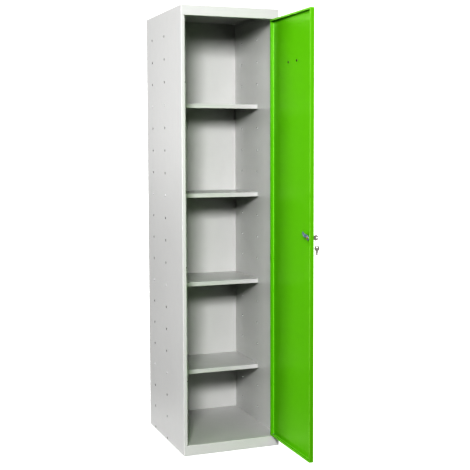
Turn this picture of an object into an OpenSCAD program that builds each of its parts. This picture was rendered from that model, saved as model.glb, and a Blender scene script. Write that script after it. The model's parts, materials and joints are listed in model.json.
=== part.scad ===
// Tall school locker: a folded sheet-steel cabinet with four fixed shelves, one pan door
// hung on two corner pivot pins, and a cam lock with its two keys.
// Front is -Y and up is +Z. The origin is the middle of the base, on the floor.
// The cabinet is drawn with its door open, the key in the lock.

/* [Cabinet] */
// Height of the cabinet
body_h = 1800; // [1500:10:2200]
// Width of the cabinet
body_w = 415; // [340:5:600]
// Depth of the cabinet
body_d = 500; // [410:5:650]
// Thickness of the steel sheet, door and shelves included
sheet = 1; // [0.7:0.1:1.3]
// Outer radius of every bend in the sheet
bend_r = 2; // [1.8:0.1:2.6]
// Height of the header above the door
header_h = 40; // [30:1:80]
// Height of the plinth below the door
plinth_h = 42; // [30:1:90]
// Width of the stile at each side of the door
stile_w = 15; // [13:1:30]
// Width of the lip behind the door that it closes against
stop_w = 8; // [6:0.5:12]
// Width of the flange that carries the back panel
rear_flange_w = 12.5; // [10:0.5:20]
// Depth of the stiffening return behind the header
header_return = 24; // [20:1:40]
// Width of the returns that stand on the floor
base_return = 20; // [15:1:40]
// Height of the small flanges at the top panel's sides and back
top_flange_h = 15; // [10:1:25]
// Length of the relief cut at the rear corners of the top and base
relief_len = 8; // [5:1:15]

/* [Hole rows] */
// Diameter of the holes in the side panels
row_hole_d = 6.5; // [6.3:0.1:8]
// Height of the lowest row of holes
row_first = 103; // [90:1:150]
// Distance of the highest row of holes from the top
row_last_drop = 99; // [90:1:150]
// Distance of the front column of holes from the front
front_column = 235; // [150:1:250]
// Distance of the rear column of holes from the back
rear_column = 87; // [60:1:120]

/* [Shelves] */
// Height of a shelf's front lip
shelf_lip_h = 18.5; // [15:0.5:30]
// Distance from a shelf's top down to its bolts
shelf_bolt_drop = 7; // [7:0.5:10]
// Distance from the front bolts to a shelf's front edge
shelf_nose = 17; // [12:1:30]
// Gap between a shelf's front lip and the side wall
lip_relief = 4; // [2:0.5:8]
// Depth of the return under a shelf's front lip
lip_return = 10; // [6:1:15]
// Diameter of the shelf bolts
bolt_d = 6; // [4:0.5:6.2]
// Diameter of a shelf bolt's head
bolt_head_d = 11; // [10:0.5:14]
// Height of a shelf bolt's head
bolt_head_h = 1.5; // [1:0.1:2.5]
// Distance across the flats of a shelf nut
nut_flats = 10; // [9:0.5:11]
// Thickness of a shelf nut
nut_h = 4; // [3:0.5:6]

/* [Door] */
// Angle that the door is drawn open at
door_open = 90; // [0:1:100]
// Thickness of the door, from its skin to its rim
door_t = 17; // [15:0.5:25]
// Width of the hem round the door's rim
door_hem = 7; // [5:0.5:10]
// Gap at each side of the door
side_gap = 1.5; // [1:0.1:3]
// Gap above and below the door
end_gap = 2; // [1.5:0.1:4]
// Gap between the closed door's rim and the stop lip
stop_gap = 2; // [1.5:0.1:4]
// Distance from the door's edge to the pivot
pivot_in = 5.5; // [5.2:0.1:7]
// Distance from the door's face to the pivot
pivot_back = 5; // [4.8:0.1:5.5]
// Diameter of the pivot pins
pin_d = 5; // [4:0.1:5.4]
// Length of a pivot pin that stands out of the door
pin_reach = 7; // [5:0.5:10]
// Thickness of the plates that hold the pivot pins
pin_plate_t = 2; // [1.5:0.5:4]
// Length of the plates that hold the pivot pins
pin_plate_len = 24; // [15:1:40]
// Wall of the nylon pivot bushes
bush_wall = 0.95; // [0.7:0.05:1.2]
// Diameter of the rubber door buffers
buffer_d = 6; // [4:0.5:6.5]

/* [Card holder] */
// Width of the card holder
card_w = 100; // [90:1:130]
// Height of the card holder
card_h = 58; // [40:1:80]
// Depth of the card holder
card_depth = 3.5; // [3:0.1:6]
// Thickness of the card holder's sheet
card_sheet = 0.8; // [0.5:0.1:1]
// Width of the card holder's folded edges
card_edge = 6; // [4:0.5:8]
// Distance between the card holder's rivets
card_rivet_span = 80; // [60:1:80]
// Distance of the card holder's middle from the top of the door
card_drop = 182; // [140:1:300]
// Diameter of the rivets
rivet_d = 4; // [3:0.1:5]

/* [Lock] */
// Height of the lock above the floor
lock_z = 902; // [700:1:1200]
// Distance of the lock from the door's free edge
lock_in = 26; // [24:0.5:30]
// Diameter of the lock's barrel
barrel_d = 19; // [18:0.5:22]
// Length of the lock's barrel behind the door's face
barrel_len = 12; // [11:0.5:16]
// Diameter of the lock's flange
lock_flange_d = 24; // [22:0.5:30]
// Thickness of the lock's flange
lock_flange_t = 2.5; // [2:0.1:4]
// Diameter of the turning plug
plug_d = 12; // [11:0.5:14]
// Distance across the flats of the lock's nut
lock_nut_flats = 22; // [21.5:0.5:27]
// Thickness of the lock's nut
lock_nut_t = 5; // [3:0.5:7]
// Side of the plug's square end
square_end = 8; // [6:0.5:8]
// Length of the cam from the plug's axis
cam_len = 38; // [34:0.5:40]
// Width of the cam
cam_w = 15; // [12:0.5:16]
// Thickness of the cam
cam_t = 2; // [1.5:0.1:3]
// Angle of the cam above the horizontal, towards the hinge
cam_angle = 31; // [0:1:90]
// Diameter of the cam screw
cam_screw_d = 5; // [4:0.5:5]

/* [Keys] */
// Thickness of a key
key_t = 2; // [1.5:0.1:2.4]
// Width of a key's blade
blade_w = 7; // [5:0.5:8]
// Length of a key's blade
blade_len = 10.5; // [8:0.5:12]
// Diameter of a key's bow
bow_d = 21; // [18:0.5:28]
// Diameter of the hole in a key's bow
bow_hole_d = 7; // [5:0.5:8]
// Distance from the edge of a key's bow to the middle of its hole
bow_hole_in = 5.5; // [5:0.5:7]
// Diameter of the key ring, at the middle of its wire
ring_d = 31; // [29:0.5:40]
// Diameter of the key ring's wire
ring_wire_d = 1.8; // [1.2:0.1:2.4]

/* [Hidden] */
$fn = 48;

// Cuts run this far past the faces that they go through
over = 1;
// Radial clearances: a pin that turns, a fastener held fast, a bolt in its hole
run_gap = 0.05;
snug_gap = 0.02;
rivet_gap = 0.05;

body_grey = [0.80, 0.81, 0.80];
door_green = [0.36, 0.73, 0.06];
zinc = [0.75, 0.76, 0.78];
nylon = [0.92, 0.92, 0.88];
rubber_black = [0.10, 0.10, 0.11];
chrome = [0.82, 0.83, 0.85];
nut_black = [0.13, 0.13, 0.14];
cam_steel = [0.45, 0.52, 0.60];
brass = [0.78, 0.66, 0.40];

front = -body_d / 2;
back = body_d / 2;
wall_x = body_w / 2 - sheet;              // inner face of a side wall
corner_x = body_w / 2 - bend_r;           // where a side panel's front bend ends
half = sheet / 2;                         // from a sheet's face to its middle

open_w = body_w - 2 * stile_w;            // the door's opening
open_top = body_h - header_h;
stop_y = front + door_t + stop_gap;       // front face of the stop lip
flange_x = wall_x - rear_flange_w;        // free edge of the rear flange
flange_y = back - 2 * sheet;              // inner face of the rear flange

row_count = 18;
row_pitch = (body_h - row_first - row_last_drop) / (row_count - 1);
column_y = [front + front_column, back - rear_column];
rows_per_shelf = 4;
first_shelf_row = 2;
shelf_front = column_y[0] - shelf_nose;

door_w = open_w - 2 * side_gap;
door_bottom = plinth_h + end_gap;
door_top = open_top - end_gap;
pivot = [door_w / 2 - pivot_in, front + pivot_back];
thrust_gap = 0.1;                         // between a bush's flange and the door
bush_bore_d = pin_d + 2 * run_gap;
bush_d = bush_bore_d + 2 * bush_wall;
bush_flange_d = 2 * pivot_back - 0.4;
bush_len = 6;
pin_head_d = pin_d + 2;
pin_head_h = 2;
buffer_gap = 0.2;                         // left between a buffer and the closed door
buffer_share = [0.15, 0.42, 0.85];        // of the door's height

slot_clear = 0.2;                         // all round a key's blade
slot_depth = 7;
plug_proud = 0.6;                         // of the plug behind the barrel
plug_sunk = 0.3;                          // of the plug behind the flange's face
cam_plane = barrel_len + plug_proud;      // front of the cam's hub, behind the door's face
cam_tip_plane = door_t + stop_gap + sheet + 0.3;
cam_rise_from = 10.5;                     // where the cam's crank starts and ends
cam_rise_to = 17.5;
cam_hub_d = 19;
cam_screw_len = 6;
cam_screw_head_d = 10;
cam_screw_head_h = 3;

ring_gap = 0.1;                           // between the ring's wire and a bow's hole
neck_w = 9;
neck_len = 6;
shoulder = lock_flange_t + 1.5;           // a key's shoulder, before the door's face
hole_to_shoulder = bow_d - bow_hole_in + neck_len - 0.5;
key_hole_out = shoulder + hole_to_shoulder;
hang = bow_hole_d / 2 - ring_wire_d / 2 - ring_gap;
ring_top = hang;                          // below the lock's axis
ring_middle = ring_top + ring_d / 2;
ring_bottom = ring_top + ring_d;
spare_hole = ring_bottom + hang;

// ---- bent sheet: a polyline along the middle of the sheet, with a true bend at each corner

function unit(v) = v / norm(v);
function left_of(v) = [-v[1], v[0]];
function backwards(list) = [for (i = [len(list) - 1:-1:0]) list[i]];

// The points round one bend, s to the left of the middle of the sheet
function bend_points(a, p, b, r, s, steps = 5) =
    let (d1 = unit(p - a), d2 = unit(b - p))
    let (turn = atan2(d1[0] * d2[1] - d1[1] * d2[0], d1 * d2), side = sign(turn))
    let (middle = p - d1 * r * tan(abs(turn) / 2) + left_of(d1) * r * side)
    let (from = -left_of(d1) * side, start = atan2(from[1], from[0]))
    [for (i = [0:steps]) middle + (r - s * side)
        * [cos(start + turn * i / steps), sin(start + turn * i / steps)]];

// One face of the bent sheet, s to the left of its middle
function bent_face(path, r, s) = let (n = len(path) - 1) [
    path[0] + left_of(unit(path[1] - path[0])) * s,
    for (i = [1:n - 1]) each bend_points(path[i - 1], path[i], path[i + 1], r, s),
    path[n] + left_of(unit(path[n] - path[n - 1])) * s
];

module bent_sheet(path, thick, outer_r) {
    r = outer_r - thick / 2;
    polygon(concat(bent_face(path, r, thick / 2), backwards(bent_face(path, r, -thick / 2))));
}

// Stands a profile drawn in Y and Z along X, centred
module along_x(length) {
    rotate([90, 0, 90]) linear_extrude(length, center = true) children();
}

// A block between two corners
module block(low, high) {
    translate(low) cube(high - low);
}

// Copies the children to the other side of the cabinet as well
module both_sides() {
    for (side = [0, 1]) mirror([side, 0, 0]) children();
}

// ---- cabinet

// The holes through both columns of one row range, along X
module row_holes() {
    for (row = [0:row_count - 1], y = column_y)
        translate([0, y, row_first + row * row_pitch])
            rotate([0, 90, 0]) cylinder(d = row_hole_d, h = body_w, center = true);
}

// Left-hand side: wall, front stile with its return and stop lip, and rear flange
module side_panel() {
    x0 = -body_w / 2;
    stile_x = x0 + stile_w - half;
    path = [
        [x0 + stile_w + stop_w, stop_y + half],
        [stile_x, stop_y + half],
        [stile_x, front + half],
        [x0 + half, front + half],
        [x0 + half, flange_y + half],
        [-flange_x, flange_y + half]
    ];
    difference() {
        linear_extrude(body_h) bent_sheet(path, sheet, bend_r);
        row_holes();
        for (z = [[-over, plinth_h], [open_top, body_h + over]])
            block([x0 + bend_r, front - over, z[0]], [0, stop_y + sheet + over, z[1]]);
    }
}

module left_side_panel() {
    color(body_grey) side_panel();
}

module right_side_panel() {
    color(body_grey) mirror([1, 0, 0]) side_panel();
}

module back_panel() {
    color(body_grey) block([-body_w / 2, back - sheet, 0], [body_w / 2, back, body_h]);
}

// The two rear corners that a tray leaves out, so that its folds can meet
module rear_reliefs(z0, z1) {
    both_sides()
        block([flange_x - 0.5, flange_y - relief_len, z0], [body_w, back, z1]);
}

// A pivot bush's hole through a tray
module bush_hole(z) {
    translate([pivot[0], pivot[1], z])
        cylinder(d = bush_d + 2 * snug_gap, h = 4 * sheet, center = true);
}

module top_panel() {
    path = [
        [front + header_return - half, open_top + 12],
        [front + header_return - half, open_top + half],
        [front + half, open_top + half],
        [front + half, body_h - half],
        [flange_y + sheet - half, body_h - half],
        [flange_y + sheet - half, body_h - top_flange_h]
    ];
    side_y = front + header_return + 6;
    color(body_grey) difference() {
        union() {
            along_x(2 * corner_x) bent_sheet(path, sheet, bend_r);
            block([-wall_x, front + bend_r, body_h - sheet], [wall_x, flange_y, body_h]);
            both_sides() block(
                [wall_x - sheet, side_y, body_h - top_flange_h], [wall_x, flange_y, body_h]);
        }
        rear_reliefs(body_h - top_flange_h - over, body_h + over);
        bush_hole(open_top);
    }
}

module base_panel() {
    path = [
        [front + base_return, half],
        [front + half, half],
        [front + half, plinth_h - half],
        [flange_y + sheet - half, plinth_h - half],
        [flange_y + sheet - half, half],
        [flange_y + sheet - base_return, half]
    ];
    color(body_grey) difference() {
        union() {
            along_x(2 * corner_x) bent_sheet(path, sheet, bend_r);
            for (z = [0, plinth_h - sheet]) both_sides() block(
                [wall_x - base_return, front + bend_r, z], [wall_x, flange_y, z + sheet]);
            both_sides() block(
                [wall_x - sheet, front + bend_r, 0], [wall_x, flange_y, plinth_h]);
        }
        rear_reliefs(-over, plinth_h + over);
        bush_hole(plinth_h);
    }
}

// ---- shelves, counted from the bottom

function shelf_row(n) = first_shelf_row + (n - 1) * rows_per_shelf;
function shelf_bolt_z(n) = row_first + shelf_row(n) * row_pitch;

module shelf(n) {
    top = shelf_bolt_z(n) + shelf_bolt_drop;
    low = top - shelf_lip_h;
    path = [
        [shelf_front + lip_return, low + half],
        [shelf_front + half, low + half],
        [shelf_front + half, top - half],
        [flange_y - half, top - half],
        [flange_y - half, low]
    ];
    color(body_grey) difference() {
        union() {
            along_x(2 * (wall_x - lip_relief)) bent_sheet(path, sheet, bend_r);
            block([-wall_x, shelf_front + bend_r, top - sheet],
                [wall_x, flange_y - bend_r, top]);
            both_sides() block([wall_x - sheet, shelf_front + bend_r, low],
                [wall_x, flange_y - bend_r, top]);
        }
        row_holes();
    }
}

// Puts the children at each shelf bolt, with +Z pointing into the cabinet from its side
module at_shelf_bolts() {
    for (n = [1:4], y = column_y) both_sides()
        translate([-body_w / 2, y, shelf_bolt_z(n)]) rotate([0, 90, 0]) children();
}

module shelf_bolts() {
    length = 2 * sheet + nut_h + 1;
    color(zinc) at_shelf_bolts() {
        cylinder(d = bolt_d, h = length);
        translate([0, 0, -bolt_head_h])
            cylinder(d1 = bolt_head_d - 2, d2 = bolt_head_d, h = bolt_head_h);
    }
}

module shelf_nuts() {
    color(zinc) at_shelf_bolts() translate([0, 0, 2 * sheet]) difference() {
        rotate(30) cylinder(d = nut_flats / cos(30), h = nut_h, $fn = 6);
        translate([0, 0, -over])
            cylinder(d = bolt_d + 2 * snug_gap, h = nut_h + 2 * over);
    }
}

// ---- pivots in the cabinet, and the door's buffers

// A nylon bush with its flange below, its barrel up into the sheet
module hinge_bush() {
    flange_h = end_gap - thrust_gap;
    color(nylon) difference() {
        union() {
            translate([0, 0, -flange_h]) cylinder(d = bush_flange_d, h = flange_h);
            cylinder(d = bush_d, h = bush_len);
        }
        translate([0, 0, -flange_h - over])
            cylinder(d = bush_bore_d, h = flange_h + bush_len + 2 * over);
    }
}

module top_hinge_bush() {
    translate([pivot[0], pivot[1], open_top]) hinge_bush();
}

module bottom_hinge_bush() {
    translate([pivot[0], pivot[1], plinth_h]) mirror([0, 0, 1]) hinge_bush();
}

// Rubber buffers on the flat of the stop lip, clear of its bend
module door_buffers() {
    buffer_h = stop_gap - buffer_gap;
    x = -open_w / 2 + (stop_w + bend_r - sheet) / 2;
    color(rubber_black) for (share = buffer_share)
        translate([x, stop_y, door_bottom + share * (door_top - door_bottom)])
            rotate([90, 0, 0]) cylinder(d = buffer_d, h = buffer_h);
}

// ---- door: drawn shut, then turned open about its pivots

module on_door() {
    translate([pivot[0], pivot[1], 0]) rotate([0, 0, door_open])
        translate([-pivot[0], -pivot[1], 0]) children();
}

// A rectangle with its two corners at y = 0 rounded
module round_nosed(width, depth, r) {
    translate([-width / 2, r]) square([width, depth - r]);
    translate([-width / 2 + r, 0]) square([width - 2 * r, depth]);
    for (side = [-1, 1]) translate([side * (width / 2 - r), r]) circle(r);
}

// A flat box whose front edges are rounded on all four sides
module pan_block(width, height, depth, r) {
    intersection() {
        linear_extrude(height, center = true) round_nosed(width, depth, r);
        rotate([90, 0, 90]) linear_extrude(width, center = true)
            rotate([0, 0, -90]) round_nosed(height, depth, r);
    }
}

// The space inside the door pan, between its skin and its hems
module door_hollow() {
    translate([0, front + sheet, (door_bottom + door_top) / 2]) pan_block(
        door_w - 2 * sheet, door_top - door_bottom - 2 * sheet, door_t - 2 * sheet,
        bend_r - sheet);
}

// Axis of the lock on the shut door: +Z points into the cabinet, +Y down
module at_lock() {
    translate([-door_w / 2 + lock_in, front, lock_z]) rotate([-90, 0, 0]) children();
}

module at_card_rivets() {
    for (side = [-1, 1])
        translate([side * card_rivet_span / 2, front, door_top - card_drop])
            rotate([-90, 0, 0]) children();
}

module door_pan() {
    color(door_green) on_door() difference() {
        translate([0, front, (door_bottom + door_top) / 2])
            pan_block(door_w, door_top - door_bottom, door_t, bend_r);
        door_hollow();
        block([-door_w / 2 + door_hem, front + door_t / 2, door_bottom + door_hem],
            [door_w / 2 - door_hem, front + door_t + over, door_top - door_hem]);
        translate([pivot[0], pivot[1], door_bottom - over])
            cylinder(d = pin_d + 2 * snug_gap, h = door_top - door_bottom + 2 * over);
        at_lock() cylinder(d = barrel_d + 2 * snug_gap, h = 4 * sheet, center = true);
        at_card_rivets() cylinder(d = rivet_d + 2 * rivet_gap, h = 4 * sheet, center = true);
    }
}

// A plate welded inside the corner of the door, with its face at z, thick upwards
module pin_plate(z) {
    color(door_green) on_door() difference() {
        intersection() {
            door_hollow();
            block([door_w / 2 - pin_plate_len, front, z], [door_w / 2, 0, z + pin_plate_t]);
        }
        translate([pivot[0], pivot[1], z - over])
            cylinder(d = pin_d + 2 * snug_gap, h = pin_plate_t + 2 * over);
    }
}

module top_pin_plate() {
    pin_plate(door_top - sheet - pin_plate_t);
}

module bottom_pin_plate() {
    pin_plate(door_bottom + sheet);
}

// A pivot pin, its head inside the door and its shank up through plate and flange
module hinge_pin() {
    grip = pin_plate_t + sheet;
    color(zinc) {
        translate([0, 0, -grip - pin_head_h]) cylinder(d = pin_head_d, h = pin_head_h);
        translate([0, 0, -grip]) cylinder(d = pin_d, h = grip + pin_reach);
    }
}

module top_hinge_pin() {
    on_door() translate([pivot[0], pivot[1], door_top]) hinge_pin();
}

module bottom_hinge_pin() {
    on_door() translate([pivot[0], pivot[1], door_bottom]) mirror([0, 0, 1]) hinge_pin();
}

// A shallow tray, open at the top, with a folded edge on three sides
module card_holder() {
    color(zinc) on_door() difference() {
        translate([0, front, door_top - card_drop]) difference() {
            block([-card_w / 2, -card_depth, -card_h / 2], [card_w / 2, 0, card_h / 2]);
            block([-card_w / 2 + card_sheet, -card_depth + card_sheet, -card_h / 2 + card_sheet],
                [card_w / 2 - card_sheet, -card_sheet, card_h]);
            block([-card_w / 2 + card_edge, -card_depth - over, -card_h / 2 + card_edge],
                [card_w / 2 - card_edge, -card_depth + 2 * card_sheet, card_h]);
        }
        at_card_rivets() cylinder(d = rivet_d + 2 * rivet_gap, h = 4 * card_depth, center = true);
    }
}

// Blind rivets: a thin head in the holder, a hollow tail inside the door
module card_holder_rivets() {
    head_h = 0.8;
    tail_h = 3;
    color(zinc) on_door() at_card_rivets() difference() {
        union() {
            translate([0, 0, -card_sheet - head_h]) cylinder(d = 2 * rivet_d, h = head_h);
            translate([0, 0, -card_sheet]) cylinder(d = rivet_d, h = card_sheet + sheet);
            translate([0, 0, sheet]) cylinder(d1 = rivet_d + 2, d2 = rivet_d, h = tail_h);
        }
        translate([0, 0, -card_depth]) cylinder(d = rivet_d / 2, h = 2 * card_depth + tail_h);
    }
}

// ---- cam lock

module lock_housing() {
    color(chrome) on_door() at_lock() difference() {
        union() {
            translate([0, 0, -lock_flange_t])
                cylinder(d1 = lock_flange_d - 2, d2 = lock_flange_d, h = lock_flange_t);
            cylinder(d = barrel_d, h = barrel_len);
        }
        translate([0, 0, -lock_flange_t - over])
            cylinder(d = plug_d + 2 * run_gap, h = barrel_len + lock_flange_t + 2 * over);
    }
}

module lock_nut() {
    color(nut_black) on_door() at_lock() translate([0, 0, sheet]) difference() {
        cylinder(d = lock_nut_flats / cos(30), h = lock_nut_t, $fn = 6);
        translate([0, 0, -over])
            cylinder(d = barrel_d + 2 * snug_gap, h = lock_nut_t + 2 * over);
    }
}

module lock_plug() {
    head = lock_flange_t - plug_sunk;
    slot = [key_t + 2 * slot_clear, blade_w + 2 * slot_clear];
    color(chrome) on_door() at_lock() difference() {
        union() {
            translate([0, 0, -head]) cylinder(d = plug_d, h = head + cam_plane);
            rotate([0, 0, -cam_angle]) translate([0, 0, cam_plane + cam_t / 2 - 0.05])
                cube([square_end, square_end, cam_t - 0.1], center = true);
        }
        translate([-slot[0] / 2, -slot[1] / 2, -head - over])
            cube([slot[0], slot[1], head + over + slot_depth]);
        translate([0, 0, cam_plane + cam_t - cam_screw_len])
            cylinder(d = cam_screw_d + 2 * snug_gap, h = 2 * cam_screw_len);
    }
}

// A plate cranked away from the door, so that its tip passes behind the stop lip
module lock_cam() {
    path = [
        [-cam_hub_d / 2, cam_plane + cam_t / 2],
        [cam_rise_from, cam_plane + cam_t / 2],
        [cam_rise_to, cam_tip_plane + cam_t / 2],
        [cam_len, cam_tip_plane + cam_t / 2]
    ];
    hole = square_end + 2 * snug_gap;
    color(cam_steel) on_door() at_lock() rotate([0, 0, -cam_angle]) difference() {
        intersection() {
            rotate([90, 0, 0]) linear_extrude(2 * cam_hub_d, center = true)
                bent_sheet(path, cam_t, cam_t + 0.5);
            linear_extrude(cam_tip_plane + 2 * cam_t) {
                circle(d = cam_hub_d);
                translate([0, -cam_w / 2]) square([cam_len - cam_w / 2, cam_w]);
                translate([cam_len - cam_w / 2, 0]) circle(d = cam_w);
            }
        }
        translate([0, 0, cam_plane + cam_t / 2])
            cube([hole, hole, 2 * cam_t], center = true);
    }
}

module cam_screw() {
    color(brass) on_door() at_lock() translate([0, 0, cam_plane + cam_t]) {
        translate([0, 0, -cam_screw_len + 0.5]) cylinder(d = cam_screw_d, h = cam_screw_len);
        difference() {
            cylinder(d = cam_screw_head_d, h = cam_screw_head_h);
            translate([0, 0, cam_screw_head_h]) cube([1.4, 12, 2.4], center = true);
        }
    }
}

// ---- keys

// A key lying in X and Y: its bow hole at the origin, its blade pointing along +Y
module key_outline() {
    tip = hole_to_shoulder + blade_len;
    difference() {
        union() {
            translate([0, bow_d / 2 - bow_hole_in]) circle(d = bow_d);
            translate([-neck_w / 2, hole_to_shoulder - neck_len]) square([neck_w, neck_len]);
            polygon([
                [-blade_w / 2, hole_to_shoulder - over], [blade_w / 2, hole_to_shoulder - over],
                [blade_w / 2, tip - 2], [blade_w / 2 - 2, tip],
                [-blade_w / 2 + 2, tip], [-blade_w / 2, tip - 2]
            ]);
        }
        circle(d = bow_hole_d);
        for (cut = [1:3]) translate([blade_w / 2, tip - 0.5 - cut * 2.6])
            rotate([0, 0, 45]) square(1.6, center = true);
    }
}

module key_plate() {
    rotate([90, 0, 90]) linear_extrude(key_t, center = true) key_outline();
}

module key() {
    color(chrome) on_door() at_lock() translate([0, 0, -key_hole_out]) key_plate();
}

module key_ring() {
    color(chrome) on_door() at_lock() translate([0, ring_middle, -key_hole_out])
        rotate_extrude() translate([ring_d / 2, 0]) circle(d = ring_wire_d);
}

module spare_key() {
    color(chrome) on_door() at_lock() translate([0, spare_hole, -key_hole_out])
        rotate([-90, 0, 0]) key_plate();
}

left_side_panel();
right_side_panel();
back_panel();
top_panel();
base_panel();
shelf(1);  // shelf_1
shelf(2);  // shelf_2
shelf(3);  // shelf_3
shelf(4);  // shelf_4
shelf_bolts();
shelf_nuts();
top_hinge_bush();
bottom_hinge_bush();
door_buffers();
door_pan();
top_pin_plate();
bottom_pin_plate();
top_hinge_pin();
bottom_hinge_pin();
card_holder();
card_holder_rivets();
lock_housing();
lock_nut();
lock_plug();
lock_cam();
cam_screw();
key();
key_ring();
spare_key();
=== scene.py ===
# %% [markdown]
# # A tall school locker, dressed for the camera
# The locker is a folded sheet-steel cabinet with four fixed shelves, and one bright green door that
# stands open on its pivot pins. CAD has already fixed every size, so this script only adds looks: it
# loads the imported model, gives each part a finish of its own, and swaps the small hardware for
# pieces with real threads, domes, recesses and rounded edges. Lengths are in metres. The cabinet
# stands on the floor at z = 0, its front looks towards -Y, and the door hangs at its right.

# %% Load the frame
import json
from math import cos, pi, radians, sin

import bmesh
import bpy
from mathutils import Euler, Matrix, Vector


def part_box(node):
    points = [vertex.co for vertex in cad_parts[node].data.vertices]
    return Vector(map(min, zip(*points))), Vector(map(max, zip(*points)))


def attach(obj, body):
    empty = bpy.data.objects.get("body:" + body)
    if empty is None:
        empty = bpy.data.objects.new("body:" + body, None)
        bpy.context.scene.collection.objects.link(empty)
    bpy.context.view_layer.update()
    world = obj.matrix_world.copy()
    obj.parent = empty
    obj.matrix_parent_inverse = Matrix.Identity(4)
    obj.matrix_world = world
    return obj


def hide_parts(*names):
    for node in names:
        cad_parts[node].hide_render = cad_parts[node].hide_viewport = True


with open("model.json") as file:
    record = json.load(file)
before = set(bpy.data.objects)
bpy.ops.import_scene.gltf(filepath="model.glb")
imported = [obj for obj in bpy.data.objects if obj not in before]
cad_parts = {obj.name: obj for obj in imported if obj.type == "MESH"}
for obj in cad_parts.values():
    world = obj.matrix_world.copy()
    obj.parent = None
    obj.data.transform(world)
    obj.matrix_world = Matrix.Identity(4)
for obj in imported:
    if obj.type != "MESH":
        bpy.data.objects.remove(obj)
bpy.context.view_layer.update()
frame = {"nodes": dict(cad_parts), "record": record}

# %% [markdown]
# ## Where things are
# Everything that follows is placed from the CAD boxes, so nothing has to be fitted by eye. The lock
# is the one place with a tilted frame of its own: its axis runs through the open door, so a small
# matrix turns "along the lock, into the cabinet" into the directions of the room.

# %% Places taken from the frame
MM = 0.001


def low_high(node):
    """The lowest corner, highest corner and middle of a CAD node."""
    low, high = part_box(node)
    return low, high, (low + high) / 2


DOOR_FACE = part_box("door_pan")[1].x
lock_middle = low_high("lock_nut")[2]
LOCK = Matrix.Translation((DOOR_FACE, lock_middle.y, lock_middle.z)) @ Matrix(
    ((0, 0, -1, 0), (1, 0, 0, 0), (0, -1, 0, 0), (0, 0, 0, 1)))
print("lock at", [round(c, 4) for c in LOCK.translation])

# %% [markdown]
# ## The camera
# A long lens stands to the left of the open front, at two thirds of the locker's height. Most of
# the picture's framing comes from tipping the camera down; a small lens shift does the rest, so
# that the uprights stay nearly parallel. The shift is kept small, because it stays when the camera
# is moved round to the sides.

# %% Camera
camera_data = bpy.data.cameras.new("studio_camera")
camera_data.sensor_width = 36
camera_data.lens = 73.19
camera_data.shift_y = -0.035
camera = bpy.data.objects.new("studio_camera", camera_data)
bpy.context.scene.collection.objects.link(camera)
CAMERA_PLACE = Vector((-1.3483, -3.852, 1.2468))
TURN, TIP, ROLL = radians(20.73), radians(4.31), radians(-0.198)
aim = Euler((pi / 2 - TIP, 0, -TURN)).to_matrix().to_4x4() @ Matrix.Rotation(ROLL, 4, "Z")
camera.matrix_world = Matrix.Translation(CAMERA_PLACE) @ aim
bpy.context.scene.camera = camera
print("camera", round((CAMERA_PLACE - Vector((0, 0, 0.9))).length, 2), "m from the locker")

# %% [markdown]
# ## Shader maths as plain sums
# Materials here are node trees, and a tree written node by node hides its idea. `Wire` holds one
# output socket. Adding or multiplying wires adds the Math nodes, and `node` makes any other node
# in the same tree, so that a pattern reads like the sum it is.

# %% Wire: a socket that can be added, multiplied and handed on
class Wire:
    """One output socket of a node tree."""

    def __init__(self, socket):
        self.socket = socket
        self.tree = socket.id_data

    def node(self, kind, settings=None, inputs=None, output=0):
        """Adds a node: its settings first, then the values or wires of its sockets."""
        made = self.tree.nodes.new(kind)
        for name, value in (settings or {}).items():
            if name == "stops":
                for stop, (place, shade) in zip(made.color_ramp.elements, value):
                    stop.position, stop.color = place, shade
            else:
                setattr(made, name, value)
        for key, value in (inputs or {}).items():
            if isinstance(value, Wire):
                self.tree.links.new(value.socket, made.inputs[key])
            else:
                made.inputs[key].default_value = value
        return Wire(made.outputs[output])

    def maths(self, operation, *values):
        return self.node("ShaderNodeMath", {"operation": operation}, dict(enumerate(values)))

    def size(self):
        """The value without its sign."""
        return self.maths("ABSOLUTE", self)

    def wrapped(self, period):
        """The value brought into one period, 0 to period."""
        return self.maths("FLOORED_MODULO", self, period)

    def __add__(self, other):
        return self.maths("ADD", self, other)

    def __sub__(self, other):
        return self.maths("SUBTRACT", self, other)

    def __rsub__(self, other):
        return self.maths("SUBTRACT", other, self)

    def __mul__(self, other):
        return self.maths("MULTIPLY", self, other)

    __radd__ = __add__
    __rmul__ = __mul__


# %% [markdown]
# ## Words for surfaces
# A few short helpers say what painters and platers say: a cloudy patch, an edge mask for wear and
# painted highlights, a brushed grain, a mix of two colours by a mask. Noise runs on Object
# coordinates, so it is glued to the part in metres and moves with it when the door turns.

# %% Helpers that every finish uses
def colour(red, green, blue):
    """A colour as a paint chart gives it, turned into the linear light that shaders use."""
    chart = [c / 255 for c in (red, green, blue)]
    return (*[c / 12.92 if c <= 0.04045 else ((c + 0.055) / 1.055) ** 2.4 for c in chart], 1)


def cloud(place, size, detail=2.0, seed=0.0):
    """Soft random patches about size metres across, 0 to 1."""
    return place.node("ShaderNodeTexNoise", {"noise_dimensions": "4D"},
                      {"Vector": place, "W": seed, "Scale": 1 / size, "Detail": detail})


def ramp(value, start, end):
    """0 below start, 1 above end, with a smooth climb between."""
    return value.node("ShaderNodeMapRange", {"interpolation_type": "SMOOTHSTEP"},
                      {"Value": value, "From Min": start, "From Max": end})


def mix(mask, a, b):
    """Colour a where the mask is 0 and colour b where it is 1."""
    return mask.node("ShaderNodeMix", {"data_type": "RGBA"}, {0: mask, 6: a, 7: b}, 2)


def stretched(place, along, across, direction):
    """Coordinates in which noise turns to long streaks in one direction, X, Y or Z."""
    scale = [1 / across] * 3
    scale["XYZ".index(direction)] = 1 / along
    return place.node("ShaderNodeMapping", None, {"Vector": place, "Scale": scale})


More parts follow.
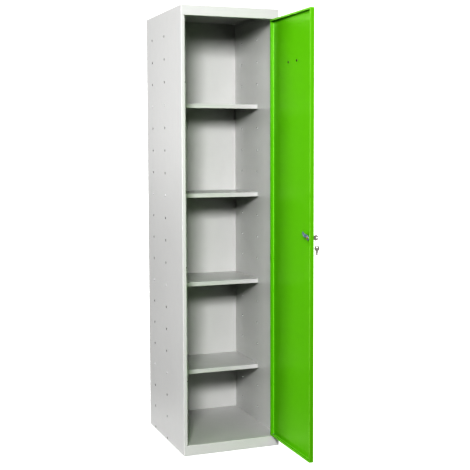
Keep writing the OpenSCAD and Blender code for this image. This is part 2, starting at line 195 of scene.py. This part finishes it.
def edge_mask(place, reach):
    """1 on sharp edges, 0 on flat faces: how far a rounded surface would turn from the real one."""
    round_way = place.node("ShaderNodeBevel", {"samples": 4}, {"Radius": reach})
    real_way = place.node("ShaderNodeNewGeometry", output="True Normal")
    agree = place.node("ShaderNodeVectorMath", {"operation": "DOT_PRODUCT"},
                       {0: round_way, 1: real_way}, "Value")
    return ramp(1 - agree, 0.02, 0.3)


def relief(height, depth):
    """A normal that makes height, 0 to 1, stand depth metres proud."""
    return height.node("ShaderNodeBump", None, {"Strength": 1.0, "Distance": depth, "Height": height})


def finish(name, recipe, **steady):
    """A material: steady values set straight on the shader, and what varies, from the recipe."""
    material = bpy.data.materials.new(name)
    material.use_nodes = True
    nodes = material.node_tree.nodes
    shader = nodes["Principled BSDF"]
    for socket, value in steady.items():
        shader.inputs[socket.replace("_", " ")].default_value = value
    place = Wire(nodes.new("ShaderNodeTexCoord").outputs["Object"])
    for socket, wire in recipe(place).items():
        material.node_tree.links.new(wire.socket, shader.inputs[socket])
    print(f"finish {name}: {len(nodes)} nodes")
    return material


def dress(material, *names):
    """Gives CAD nodes that stay in sight their finish."""
    for name in names:
        for material_slot in frame["nodes"][name].material_slots:
            material_slot.material = material


# %% [markdown]
# ## Powder coat
# Both paints are powder coat: plastic dust baked on to the steel. It is even and slightly glossy,
# has a fine orange-peel surface, and wears thin first on folded edges. A flat grey would look like
# card, so the finish drifts a little in tone and ripples in its reflection. Its edges and folds go
# paler, partly as paint worn thin and partly as a painted highlight; on the door's wide pale folds
# it is a painted highlight. Both colours share one recipe, which is told the paint, its pale edge
# tone and how wide its pale folds are. The side panels add dimples: a bump presses the coat in round
# each spare shelf hole, and painted shade darkens it there. The place of each hole is worked out from
# the grid that the CAD record gives.

# %% The two paints
def powder_coat(paint, thin_and_sheen, rub_mark, fold=1.2 * MM, pressed_and_shaded=None):
    """A powder coat: paint, pale edge tone of thin paint and painted highlight, rub mark, fold width,
    dimples with painted shade.
    """
    def recipe(place):
        drift = cloud(place, 0.45)
        mottle = cloud(place, 0.03, 3, seed=2)
        peel = cloud(place, 0.0024, 1, seed=4)
        grain = cloud(place, 0.0007, 0, seed=6)
        streak = cloud(stretched(place, 0.3, 0.004, "Z"), 1, 2, seed=8)
        scuff = ramp(streak, 0.66, 0.8) * ramp(cloud(place, 0.12, seed=9), 0.5, 0.7)
        # Pale edges: paint worn thin on cut edges, and a painted highlight on folds, wide on the door
        edge = edge_mask(place, fold) * ramp(mottle, 0.25, 0.5)
        tone = mix(drift, [c * 0.965 for c in paint[:3]] + [1], [c * 1.03 for c in paint[:3]] + [1])
        tone = mix(ramp(mottle, 0.25, 0.8) * 0.3, tone, [c * 0.95 for c in paint[:3]] + [1])
        tone = mix(scuff * 0.08, tone, rub_mark)
        surface = peel * 0.06 + grain * 0.02
        if pressed_and_shaded:
            # Painted shade darkens the coat round each spare hole; the same mask presses the bump in
            dimple_and_shade = pressed_and_shaded(place)
            tone = mix(dimple_and_shade * 0.85, tone, [c * 0.1 for c in paint[:3]] + [1])
            surface = surface - dimple_and_shade
        return {
            "Base Color": mix(edge * 0.4, tone, thin_and_sheen),
            "Roughness": 0.26 + drift * 0.08 + mottle * 0.06 + edge * 0.12 + scuff * 0.15,
            "Normal": relief(surface, 0.8 * MM),
        }
    return recipe


PITCHES, ROWS_PER_SHELF = 17, 4
SHADE_DIMPLE_FLOOR, SHADE_DIMPLE_RIM = 4.0 * MM, 6.2 * MM
NEAR_SHELF, CLEAR_OF_SHELF = 30 * MM, 40 * MM


def hole_dimples_and_shade(place):
    """Painted shade and dimple mask: 1 at a side panel's spare shelf holes, 0 away; none in the four shelf
    rows.
    """
    join = next(m for m in frame["record"]["mounts"] if m["name"] == "left_join")
    half_y, half_z = [join["dims"][key] * MM / 2 for key in ("spacing_x_mm", "spacing_y_mm")]
    lowest, pitch = join["pos_m"][2] - half_z, 2 * half_z / PITCHES
    y = place.node("ShaderNodeSeparateXYZ", None, {0: place}, "Y")
    z = place.node("ShaderNodeSeparateXYZ", None, {0: place}, "Z")
    off_column = ((y - join["pos_m"][1]).size() - half_y).size()
    off_row = (z - (lowest - pitch / 2)).wrapped(pitch) - pitch / 2
    off_shelf = ((z - lowest).wrapped(ROWS_PER_SHELF * pitch) - ROWS_PER_SHELF / 2 * pitch).size()
    reach = y.maths("SQRT", off_column * off_column + off_row * off_row)
    return (1 - ramp(reach, SHADE_DIMPLE_FLOOR, SHADE_DIMPLE_RIM)) * ramp(off_shelf, NEAR_SHELF, CLEAR_OF_SHELF)


# The pale tones lighten edges and folds: thin paint, and a painted highlight on the folds
GREY, GREY_THIN_AND_SHEEN, GREY_RUBBED = colour(200, 200, 199), colour(226, 227, 226), colour(150, 147, 138)
GREEN, GREEN_FOLD_HIGHLIGHT, GREEN_RUBBED = colour(107, 179, 16), colour(190, 240, 140), colour(84, 150, 30)
body_paint = finish("body_paint", powder_coat(GREY, GREY_THIN_AND_SHEEN, GREY_RUBBED))
# The door's wide pale folds are a painted highlight on its flanges and rim
door_paint = finish("door_paint", powder_coat(GREEN, GREEN_FOLD_HIGHLIGHT, GREEN_RUBBED, fold=5 * MM))
# The side panels get painted shade and a pressed dimple round each spare shelf hole
side_paint = finish("side_paint", powder_coat(GREY, GREY_THIN_AND_SHEEN, GREY_RUBBED, pressed_and_shaded=hole_dimples_and_shade))
dress(side_paint, "left_side_panel", "right_side_panel")
dress(body_paint, "back_panel", "top_panel", "base_panel", *[f"shelf_{n}" for n in (1, 2, 3, 4)])
dress(door_paint, "door_pan", "top_pin_plate", "bottom_pin_plate")

# %% [markdown]
# ## Plated metal and small plastic
# The fittings are bought parts, and each has the finish of its trade: zinc on the rivets, pins and
# card holder, a dull pale zinc on the shelf bolts and nuts, chrome on the lock, black on its nut,
# blue passivated steel on the cam, yellow passivated brass on its screw, nickel on the keys and
# their ring. They differ in tone and grain, so one recipe serves them all: patches where the
# plating is duller, a grain that is either fine and even or drawn out by a brush, and edges that
# handling has polished. Nylon and rubber have no plating; they get a moulded surface instead.

# %% Finishes of the fittings
def plated(metal, dull, bright, rough, grain=None):
    """The recipe of a plated metal; grain names the direction in which it was brushed."""
    def recipe(place):
        patch = cloud(place, 0.009, 3)
        fine = cloud(stretched(place, 0.02, 0.0004, grain) if grain else place,
                     1 if grain else 0.0006, 2, seed=3)
        edge = edge_mask(place, 0.5 * MM) * ramp(cloud(place, 0.004, 2, seed=5), 0.3, 0.6)
        tone = mix(ramp(patch, 0.3, 0.75), metal, dull)
        return {
            "Base Color": mix(edge * 0.7, tone, bright),
            "Roughness": rough + patch * 0.12 + fine * 0.12 - edge * 0.08,
            "Normal": relief(fine, 0.02 * MM),
        }
    return recipe


def moulded(plastic, deeper, rough):
    """The recipe of a moulded plastic: faint clouding, a spark-eroded surface, edges worn paler."""
    def recipe(place):
        cloudy = cloud(place, 0.004, 3)
        grain = cloud(place, 0.0003, 1, seed=3)
        edge = edge_mask(place, 0.4 * MM)
        return {
            "Base Color": mix(ramp(cloudy, 0.3, 0.7) + edge * 0.2, plastic, deeper),
            "Roughness": rough + grain * 0.1 + cloudy * 0.1 - edge * 0.1,
            "Normal": relief(grain, 0.03 * MM),
        }
    return recipe


zinc = finish("zinc_plate", plated(
    colour(205, 207, 211), colour(170, 173, 178), colour(232, 233, 235), 0.36), Metallic=0.85)
chrome = finish("lock_chrome", plated(
    colour(212, 213, 216), colour(188, 190, 194), colour(240, 240, 241), 0.14), Metallic=1.0)
bolt_zinc = finish("bolt_zinc", plated(
    colour(186, 186, 186), colour(174, 174, 175), colour(204, 204, 204), 0.55), Metallic=0.2)
black_nut = finish("nut_black", plated(
    colour(38, 38, 41), colour(27, 27, 30), colour(120, 118, 116), 0.36), Metallic=0.6)
blue_steel = finish("cam_steel", plated(
    colour(156, 170, 192), colour(120, 134, 156), colour(224, 228, 234), 0.36, "Z"), Metallic=0.6)
yellow_brass = finish("brass", plated(
    colour(214, 190, 142), colour(186, 158, 106), colour(238, 224, 190), 0.32), Metallic=0.85)
nickel = finish("key_nickel", plated(
    colour(196, 190, 188), colour(166, 158, 156), colour(232, 229, 226), 0.4, "Z"), Metallic=0.7)
nylon = finish("nylon", moulded(colour(232, 231, 220), colour(214, 211, 196), 0.38))
rubber = finish("rubber", moulded(colour(36, 36, 38), colour(52, 51, 52), 0.72))

# %% [markdown]
# ## Turned and formed hardware
# Bolts, nuts, rivets, rubber buffers and the lock's barrel are turned, headed or moulded round an
# axis, so each is a profile swung round a line. `turned` does that; a ring of the profile may be
# six-sided, which gives a nut's flats and a socket for a hex key. The CAD keeps these parts plain,
# and the domes, chamfers and sockets here are what the eye expects to find.

# %% turned: a profile swung round the Z axis
ROUND, HEX = "round", "hex"
SHARP_FROM = radians(28)
WELD = 1e-6


def show(name, mesh, material, body=None, stands_for=()):
    """Puts a mesh in the scene, and on to its CAD body if it has one."""
    mesh.name = name
    if material:
        mesh.materials.clear()
        mesh.materials.append(material)
    piece = bpy.data.objects.new(name, mesh)
    bpy.context.scene.collection.objects.link(piece)
    if body:
        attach(piece, body)
        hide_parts(*stands_for)
        print(f"{name}: {len(mesh.polygons)} faces on {body}")
    return piece


def turned(name, profile, sides=48):
    """A closed mesh from (radius, height, ROUND or HEX) rings; the last joins the first."""
    shape = bmesh.new()
    rings = []
    for radius, height, form in profile:
        ring = []
        for step in range(sides):
            turn = 2 * pi * step / sides
            off_flat = (turn + pi / 6) % (pi / 3) - pi / 6
            reach = radius / cos(off_flat) if form == HEX else radius
            ring.append(shape.verts.new((reach * cos(turn), reach * sin(turn), height)))
        rings.append(ring)
    for ring, nxt in zip(rings, rings[1:] + rings[:1]):
        for step in range(sides):
            other = (step + 1) % sides
            shape.faces.new((ring[step], ring[other], nxt[other], nxt[step]))
    bmesh.ops.remove_doubles(shape, verts=shape.verts, dist=WELD)
    bmesh.ops.dissolve_degenerate(shape, edges=shape.edges, dist=1e-7)
    # A solid profile leaves one bare edge along its axis
    bare = [edge for edge in shape.edges if not edge.link_faces]
    bmesh.ops.delete(shape, geom=bare, context="EDGES")
    bmesh.ops.recalc_face_normals(shape, faces=shape.faces)
    for edge in shape.edges:
        edge.smooth = len(edge.link_faces) == 2 and edge.calc_face_angle(0) < SHARP_FROM
    for face in shape.faces:
        face.smooth = True
    mesh = bpy.data.meshes.new(name)
    shape.to_mesh(mesh)
    shape.free()
    return mesh


# A button head with a hex socket, over a plain shank; the head stands on z = 0
bolt = turned("bolt", [
    (0, 0.55 * MM, ROUND), (2.0 * MM, 0.55 * MM, HEX), (2.0 * MM, 1.42 * MM, HEX),
    (2.5 * MM, 1.5 * MM, ROUND), (3.5 * MM, 1.36 * MM, ROUND), (4.6 * MM, 1.0 * MM, ROUND),
    (5.3 * MM, 0.5 * MM, ROUND),
    (5.5 * MM, 0.18 * MM, ROUND), (5.45 * MM, 0, ROUND), (3.0 * MM, 0, ROUND), (3.0 * MM, -6.4 * MM, ROUND),
    (2.5 * MM, -7.0 * MM, ROUND), (0, -7.0 * MM, ROUND)])
# A hex nut, chamfered at both ends, on the same shank
nut = turned("nut", [
    (3.0 * MM, -2.0 * MM, ROUND), (4.6 * MM, -2.0 * MM, ROUND), (5.0 * MM, -2.35 * MM, HEX),
    (5.0 * MM, -5.65 * MM, HEX), (4.6 * MM, -6.0 * MM, ROUND), (3.4 * MM, -6.0 * MM, ROUND),
    (3.0 * MM, -5.7 * MM, ROUND)])
# A blind rivet: domed head on the card holder, a belled tail inside the door
rivet = turned("rivet", [
    (0, 0.42 * MM, ROUND), (1.0 * MM, 0.42 * MM, ROUND), (1.05 * MM, 1.05 * MM, ROUND),
    (1.3 * MM, 1.55 * MM, ROUND), (2.6 * MM, 1.35 * MM, ROUND), (3.7 * MM, 1.0 * MM, ROUND),
    (4.0 * MM, 0.8 * MM, ROUND), (2.0 * MM, 0.8 * MM, ROUND), (2.0 * MM, -1.0 * MM, ROUND),
    (2.9 * MM, -1.2 * MM, ROUND), (3.0 * MM, -2.2 * MM, ROUND), (2.2 * MM, -3.6 * MM, ROUND),
    (1.0 * MM, -4.0 * MM, ROUND), (0, -3.7 * MM, ROUND)])
# A rubber buffer: a low dome with a rolled foot
buffer = turned("buffer", [
    (0, 1.8 * MM, ROUND), (1.2 * MM, 1.72 * MM, ROUND), (2.1 * MM, 1.4 * MM, ROUND),
    (2.6 * MM, 0.8 * MM, ROUND), (2.75 * MM, 0.5 * MM, ROUND), (3.0 * MM, 0.3 * MM, ROUND),
    (3.0 * MM, 0, ROUND), (0, 0, ROUND)])
for made in (bolt, nut, rivet, buffer):
    print(made.name, len(made.polygons), "faces")

# %% [markdown]
# ## Rows of the same fitting
# Shelf bolts, nuts, rivets and buffers repeat on a grid. Copying objects by hand would leave dozens
# of loose pieces, so a Geometry Nodes tree lays them out: one line of points across, another line
# up, and the fitting on every point of the grid, turned to face its panel. The tree is run once and
# its result kept as a plain mesh.

# %% The row tree, and a helper that runs a tree once
def new_tree(name, sockets):
    """An empty Geometry Nodes tree with named inputs, its two end nodes, and a short way to add nodes."""
    tree = bpy.data.node_groups.new(name, "GeometryNodeTree")
    for label, kind in sockets.items():
        tree.interface.new_socket(label, in_out="INPUT", socket_type=kind)
    tree.interface.new_socket("Geometry", in_out="OUTPUT", socket_type="NodeSocketGeometry")
    start, end = tree.nodes.new("NodeGroupInput"), tree.nodes.new("NodeGroupOutput")

    def add(kind, settings=None, **wires):
        made = tree.nodes.new(kind)
        for key, value in (settings or {}).items():
            setattr(made, key, value)
        for key, value in wires.items():
            key = key.replace("_", " ")
            if isinstance(value, bpy.types.NodeSocket):
                tree.links.new(value, made.inputs[key])
            else:
                made.inputs[key].default_value = value
        return made.outputs[0]

    return tree, start.outputs, end.inputs[0], add


def run_tree(tree, name, **values):
    """Runs a tree on an empty object, with its inputs set by name, and returns the mesh."""
    carrier = bpy.data.objects.new(name, bpy.data.meshes.new(name))
    bpy.context.scene.collection.objects.link(carrier)
    step = carrier.modifiers.new("rows", "NODES")
    step.node_group = tree
    labels = {item.name: item.identifier for item in tree.interface.items_tree if item.in_out == "INPUT"}
    for label, value in values.items():
        step[labels[label.replace("_", " ")]] = value
    bpy.context.view_layer.update()
    ready = carrier.evaluated_get(bpy.context.evaluated_depsgraph_get())
    mesh = bpy.data.meshes.new_from_object(ready)
    carrier.modifiers.remove(step)
    bpy.data.objects.remove(carrier)
    return mesh


rows, given, result, add = new_tree("rows", {
    "Fitting": "NodeSocketObject", "First": "NodeSocketVector", "Step Across": "NodeSocketVector",
    "Across Count": "NodeSocketInt", "Step Up": "NodeSocketVector", "Up Count": "NodeSocketInt",
    "Turn": "NodeSocketRotation", "Finish": "NodeSocketMaterial"})
across = add("GeometryNodeMeshLine", Count=given["Across Count"], Start_Location=given["First"],
             Offset=given["Step Across"])
upward = add("GeometryNodeMeshLine", Count=given["Up Count"], Offset=given["Step Up"])
grid = add("GeometryNodeRealizeInstances",
           Geometry=add("GeometryNodeInstanceOnPoints", Points=across, Instance=upward))
fitting = rows.nodes.new("GeometryNodeObjectInfo")
rows.links.new(given["Fitting"], fitting.inputs["Object"])
copies = add("GeometryNodeInstanceOnPoints", Points=grid, Instance=fitting.outputs["Geometry"],
             Rotation=given["Turn"])
placed = add("GeometryNodeRealizeInstances", Geometry=copies)
rows.links.new(add("GeometryNodeSetMaterial", Geometry=placed, Material=given["Finish"]), result)
print("rows:", len(rows.nodes), "nodes")


ALONE = ((0, 0, 0), 1)


def row_of(name, fitting_mesh, finish_used, first, across=ALONE, up=ALONE, turn=(0, 0, 0)):
    """Fittings on a grid, as one mesh. Across and up are (step, count); the turn is in degrees."""
    pattern = show("pattern", fitting_mesh.copy(), None)
    mesh = run_tree(rows, name, Fitting=pattern, First=first, Step_Across=across[0], Across_Count=across[1],
                    Step_Up=up[0], Up_Count=up[1], Turn=[radians(a) for a in turn], Finish=finish_used)
    bpy.data.objects.remove(pattern)
    return mesh


def joined(name, *meshes):
    """Several meshes as one."""
    shape = bmesh.new()
    for mesh in meshes:
        shape.from_mesh(mesh)
    mesh = bpy.data.meshes.new(name)
    shape.to_mesh(mesh)
    shape.free()
    return mesh


# %% [markdown]
# ## Shelf bolts
# Each shelf hangs on four bolts, two through each side panel, with the heads outside and the nuts
# inside the tray. Both sides are the same grid of two across and four up, so one row per side does
# it, turned to face left or right; the CAD box of the bolts gives the grid's corners.

# %% Shelf bolts and nuts
BOLT_HEAD, BOLT_HEAD_HEIGHT, SHELVES = 5.5 * MM, 1.5 * MM, 4
bolts_low, bolts_high, _ = low_high("shelf_bolts")
across_shelf = (0, bolts_high.y - bolts_low.y - 2 * BOLT_HEAD, 0)
up_shelves = (0, 0, (bolts_high.z - bolts_low.z - 2 * BOLT_HEAD) / (SHELVES - 1))
for name, fitting_mesh in (("shelf_bolts", bolt), ("shelf_nuts", nut)):
    sides = []
    for side in (-1, 1):
        first = (side * (bolts_high.x - BOLT_HEAD_HEIGHT), bolts_low.y + BOLT_HEAD, bolts_low.z + BOLT_HEAD)
        sides.append(row_of(name, fitting_mesh, bolt_zinc, first, (across_shelf, 2), (up_shelves, SHELVES),
                            (0, 90 * side, 0)))
    show(name + "_16", joined(name, *sides), bolt_zinc, "cabinet", [name])

# %% [markdown]
# ## Card-holder rivets
# Two blind rivets hold the card holder to the outside of the door. Setting one pulls a steel mandrel
# until it snaps, and its head stays in the tail, where it shows as a dark button inside the door.
# Rivet and mandrel are two metals, so they are two pieces that share the same two places.

# %% Rivets and their mandrels
RIVET_HEAD, RIVET_HEAD_HEIGHT = 4 * MM, 1.6 * MM
rivets_low, rivets_high, rivets_middle = low_high("card_holder_rivets")
first_rivet = (rivets_high.x - RIVET_HEAD_HEIGHT, rivets_low.y + RIVET_HEAD, rivets_middle.z)
rivet_pair = ((0, rivets_high.y - rivets_low.y - 2 * RIVET_HEAD, 0), 2)
rivet_row = row_of("rivets", rivet, zinc, first_rivet, rivet_pair, turn=(0, 90, 0))
show("card_holder_blind_rivets", rivet_row, zinc, "door", ["card_holder_rivets"])

mandrel = turned("mandrel", [
    (0, -3.4 * MM, ROUND), (4.4 * MM, -3.4 * MM, ROUND), (4.8 * MM, -3.7 * MM, ROUND),
    (4.5 * MM, -4.2 * MM, ROUND), (2.0 * MM, -4.8 * MM, ROUND), (0, -5.0 * MM, ROUND)])
mandrel_row = row_of("mandrels", mandrel, black_nut, first_rivet, rivet_pair, turn=(0, 90, 0))
show("rivet_mandrels", mandrel_row, black_nut, "door")

# %% [markdown]
# ## Door buffers
# Three small rubber buffers sit on the stop lip and quieten the door as it shuts. Their heights are
# shares of the door's height and not an even step, so each is a row of one, and the three are joined.

# %% Rubber buffers
BUFFER_SHARES = (0.15, 0.42, 0.85)
_, buffers_high, buffers_middle = low_high("door_buffers")
door_low, door_high, _ = low_high("door_pan")
buffers = []
for share in BUFFER_SHARES:
    foot = (buffers_middle.x, buffers_high.y, door_low.z + share * (door_high.z - door_low.z))
    buffers.append(row_of("buffer", buffer, rubber, foot, turn=(90, 0, 0)))
show("door_buffers_3", joined("buffers", *buffers), rubber, "cabinet", ["door_buffers"])

# %% [markdown]
# ## Softened CAD parts
# Stamped and cast parts have no knife edges. For the lock's nut, plug, cam and screw, the card
# holder, the pivot pins and bushes and the keys, the CAD shape is right and only its edges are too
# sharp. So each is copied from its CAD mesh, merged back to whole faces, and given a small bevel.

# %% softened: a CAD node with rounded edges
BEVEL_STEPS, BEVEL_FROM, SAME_FACE = 3, radians(35), radians(0.5)


def softened(name, material, body, radius):
    """Copies a CAD node, merges its triangles into whole faces and rounds its edges."""
    source = frame["nodes"][name]
    shape = bmesh.new()
    shape.from_mesh(source.data)
    shape.transform(source.matrix_world)
    bmesh.ops.remove_doubles(shape, verts=shape.verts, dist=WELD)
    bmesh.ops.dissolve_limit(shape, angle_limit=SAME_FACE, verts=shape.verts, edges=shape.edges)
    bmesh.ops.recalc_face_normals(shape, faces=shape.faces)
    for face in shape.faces:
        face.smooth = True
    mesh = bpy.data.meshes.new(name)
    shape.to_mesh(mesh)
    shape.free()
    block = show(name + "_block", mesh, None)
    step = block.modifiers.new("rounded", "BEVEL")
    step.width, step.segments = radius, BEVEL_STEPS
    step.limit_method, step.angle_limit = "ANGLE", BEVEL_FROM
    # Large faces keep their own direction, and only the rounded edges turn the light
    block.modifiers.new("steady_faces", "WEIGHTED_NORMAL").weight = 100
    bpy.context.view_layer.update()
    ready = block.evaluated_get(bpy.context.evaluated_depsgraph_get())
    rounded = bpy.data.meshes.new_from_object(ready)
    bpy.data.objects.remove(block)
    return show(name + "_rounded", rounded, material, body, [name])


softened("card_holder", zinc, "door", 0.15 * MM)
softened("lock_nut", black_nut, "door", 0.5 * MM)
softened("lock_plug", chrome, "lock_plug", 0.2 * MM)
softened("lock_cam", blue_steel, "lock_plug", 0.3 * MM)
softened("cam_screw", yellow_brass, "lock_plug", 0.25 * MM)
softened("key", nickel, "key", 0.3 * MM)
softened("spare_key", nickel, "spare_key", 0.3 * MM)
for end in ("top", "bottom"):
    softened(end + "_hinge_pin", zinc, "door", 0.5 * MM)
    softened(end + "_hinge_bush", nylon, "cabinet", 0.2 * MM)

# %% [markdown]
# ## Springs and threads
# A split ring is two turns of wire, and a cut thread is a ridge that climbs a cylinder. Both are a
# small section carried along a spiral, so one tree makes both: a spiral curve, a round section with
# as many sides as asked for, and a mesh along the way.

# %% The spiral tree
spiral, given, result, add = new_tree("spiral", {
    "Turns": "NodeSocketFloat", "Radius": "NodeSocketFloat", "Climb": "NodeSocketFloat",
    "Wire": "NodeSocketFloat", "Sides": "NodeSocketInt", "Finish": "NodeSocketMaterial"})
STEPS_PER_TURN = 60
way = add("GeometryNodeCurveSpiral", Resolution=STEPS_PER_TURN, Rotations=given["Turns"],
          Start_Radius=given["Radius"], End_Radius=given["Radius"], Height=given["Climb"])
section = add("GeometryNodeCurvePrimitiveCircle", Resolution=given["Sides"], Radius=given["Wire"])
swept = add("GeometryNodeCurveToMesh", Curve=way, Profile_Curve=section, Fill_Caps=True)
whole = add("GeometryNodeRealizeInstances", Geometry=swept)
spiral.links.new(add("GeometryNodeSetMaterial", Geometry=whole, Material=given["Finish"]), result)
print("spiral:", len(spiral.nodes), "nodes")

# %% [markdown]
# ## The split ring
# Two turns of thin wire lie side by side, and the keys are threaded on between them. The CAD ring is
# one solid hoop, so the coils are made a little smaller and laid on its middle, with their climb
# shared to either side; the wire is thin enough for the spare key to swing without rubbing on it.

# %% The split ring
RING_WIRE, RING_CLIMB, RING_INSET = 0.34 * MM, 1.4 * MM, 0.9 * MM
ring_low, ring_high, ring_middle = low_high("key_ring")
coils = run_tree(spiral, "split_ring", Turns=2.0, Radius=(ring_high.z - ring_low.z) / 2 - RING_INSET,
                 Climb=RING_CLIMB, Wire=RING_WIRE, Sides=12, Finish=nickel)
ring_start = ring_middle - Vector((RING_CLIMB / 2, 0, 0))
coils.transform(Matrix.Translation(ring_start) @ Matrix.Rotation(pi / 2, 4, "Y"))
for face in coils.polygons:
    face.use_smooth = True
show("split_ring", coils, nickel, "key_ring", ["key_ring"])

# %% [markdown]
# ## The lock's barrel
# The barrel is a hollow cylinder with a domed flange outside the door and a fine thread behind it
# for the nut. The body is turned and the thread is the spiral tree with a four-sided section, one
# turn to each millimetre. Both are made upright, joined, and then stood on the lock's own axis.

# %% The lock's barrel and its thread
BARREL_SIDES = 72
THREAD_PITCH, THREAD_TURNS, THREAD_START = 1.0 * MM, 9.5, 1.9 * MM
THREAD_RADIUS, THREAD_WIRE = 9.02 * MM, 0.48 * MM
barrel = turned("barrel", [
    (6.05 * MM, -2.2 * MM, ROUND), (6.5 * MM, -2.5 * MM, ROUND), (9.6 * MM, -2.5 * MM, ROUND),
    (10.8 * MM, -2.25 * MM, ROUND), (11.6 * MM, -1.4 * MM, ROUND), (12.0 * MM, -0.6 * MM, ROUND),
    (12.0 * MM, 0, ROUND), (9.45 * MM, 0, ROUND), (9.45 * MM, 1.0 * MM, ROUND),
    (9.05 * MM, 1.4 * MM, ROUND), (9.05 * MM, 11.5 * MM, ROUND), (8.7 * MM, 12.0 * MM, ROUND),
    (6.3 * MM, 12.0 * MM, ROUND), (6.05 * MM, 11.8 * MM, ROUND)], BARREL_SIDES)
thread = run_tree(spiral, "thread", Turns=THREAD_TURNS, Radius=THREAD_RADIUS,
                  Climb=THREAD_TURNS * THREAD_PITCH, Wire=THREAD_WIRE, Sides=4, Finish=chrome)
thread.transform(Matrix.Translation((0, 0, THREAD_START)))
lock_body = joined("lock_body", barrel, thread)
lock_body.transform(LOCK)
show("lock_barrel", lock_body, chrome, "door", ["lock_housing"])

# %% [markdown]
# ## The floor
# The floor is pale and matt. Under the locker nearly half of what shows is a lit floor and the rest
# a plain white glow that only the camera sees, so it keeps a faint contact shadow. Further out it is
# all glow, which is the white of the backdrop, and no horizon line shows.

# %% Floor and backdrop
FLOOR_REACH = 30
FADE_FROM, FADE_TO, LEAST_GLOW = 0.3, 1.0, 0.55
floor_mesh = bpy.data.meshes.new("studio_floor")
floor_mesh.from_pydata([(x * FLOOR_REACH, y * FLOOR_REACH, 0)
                        for x, y in ((-1, -1), (1, -1), (1, 1), (-1, 1))], [], [(0, 1, 2, 3)])
studio_floor = bpy.data.objects.new("studio_floor", floor_mesh)
bpy.context.scene.collection.objects.link(studio_floor)

floor_paint = finish("studio_floor", lambda place: {}, Base_Color=(0.72, 0.72, 0.72, 1), Roughness=0.8)
floor_mesh.materials.append(floor_paint)
floor_tree = floor_paint.node_tree
matt = Wire(floor_tree.nodes["Principled BSDF"].outputs["BSDF"])
spot = matt.node("ShaderNodeTexCoord", output="Object")
reach = matt.node("ShaderNodeVectorMath", {"operation": "LENGTH"}, {0: spot}, "Value")
seen = matt.node("ShaderNodeLightPath", output="Is Camera Ray")
glow = matt.node("ShaderNodeEmission", None, {"Strength": seen})
share_of_glow = ramp(reach, FADE_FROM, FADE_TO) * (1 - LEAST_GLOW) + LEAST_GLOW
faded = matt.node("ShaderNodeMixShader", None, {0: share_of_glow, 1: matt, 2: glow})
floor_tree.links.new(faded.socket, floor_tree.nodes["Material Output"].inputs["Surface"])
print("floor:", 2 * FLOOR_REACH, "m across,", len(floor_tree.nodes), "nodes")

# %% [markdown]
# ## The lights
# Six soft boxes do the lighting. The key stands high beside the camera and throws each shelf's shadow
# on to the back panel below it. A weak fill to the left of the camera opens up the left side, and
# the other four stand level with the locker or behind it, so they lift its sides, back and top and
# leave the inside to the key. The room itself is white to the camera, dimmer in reflections, and
# almost dark as a light, because an even light from all round would wash the shadows out.

# %% Soft boxes and the room's own light
def softbox(name, place, target, width, height, watts):
    """A flat soft light at place, turned to face target."""
    lamp = bpy.data.lights.new(name, "AREA")
    lamp.shape, lamp.size, lamp.size_y, lamp.energy = "RECTANGLE", width, height, watts
    light = bpy.data.objects.new(name, lamp)
    bpy.context.scene.collection.objects.link(light)
    facing = (Vector(target) - Vector(place)).to_track_quat("-Z", "Y").to_matrix().to_4x4()
    light.matrix_world = Matrix.Translation(place) @ facing
    print(f"soft box {name}: {width} x {height} m, {watts} W")


softbox("key", (-1.65, -3.9, 2.29), (0, 0, 1.2), 0.85, 0.72, 141)
softbox("front_fill", (-3.3, -2.1, 1.8), (0, 0, 1.0), 1.4, 1.4, 26)
softbox("left_fill", (-3.2, 0.5, 1.1), (0, 0.1, 1.0), 1.2, 1.6, 41)
softbox("right_fill", (3.4, -0.3, 1.3), (0.2, -0.2, 1.0), 1.4, 1.6, 34)
softbox("right_back", (2.8, 3.2, 2.2), (0, 0, 1.0), 1.6, 1.6, 60)
softbox("top", (0.3, 1.0, 4.2), (0, 0, 0), 2.5, 2.5, 45)

world = bpy.data.worlds.new("studio")
bpy.context.scene.world = world
world.use_nodes = True
sky = world.node_tree
ray_kind = sky.nodes.new("ShaderNodeLightPath").outputs
looked_at, mirrored = Wire(ray_kind["Is Camera Ray"]), Wire(ray_kind["Is Glossy Ray"])
ROOM_LIGHT, ROOM_REFLECTED = 0.05, 0.35
room = looked_at * (1 - ROOM_LIGHT) + mirrored * (ROOM_REFLECTED - ROOM_LIGHT) + ROOM_LIGHT
sky.links.new(room.socket, sky.nodes["Background"].inputs["Strength"])
sky.nodes["Background"].inputs["Color"].default_value = (1, 1, 1, 1)
bpy.context.scene.view_settings.view_transform = "Standard"
bpy.context.scene.view_settings.look = "Very High Contrast"
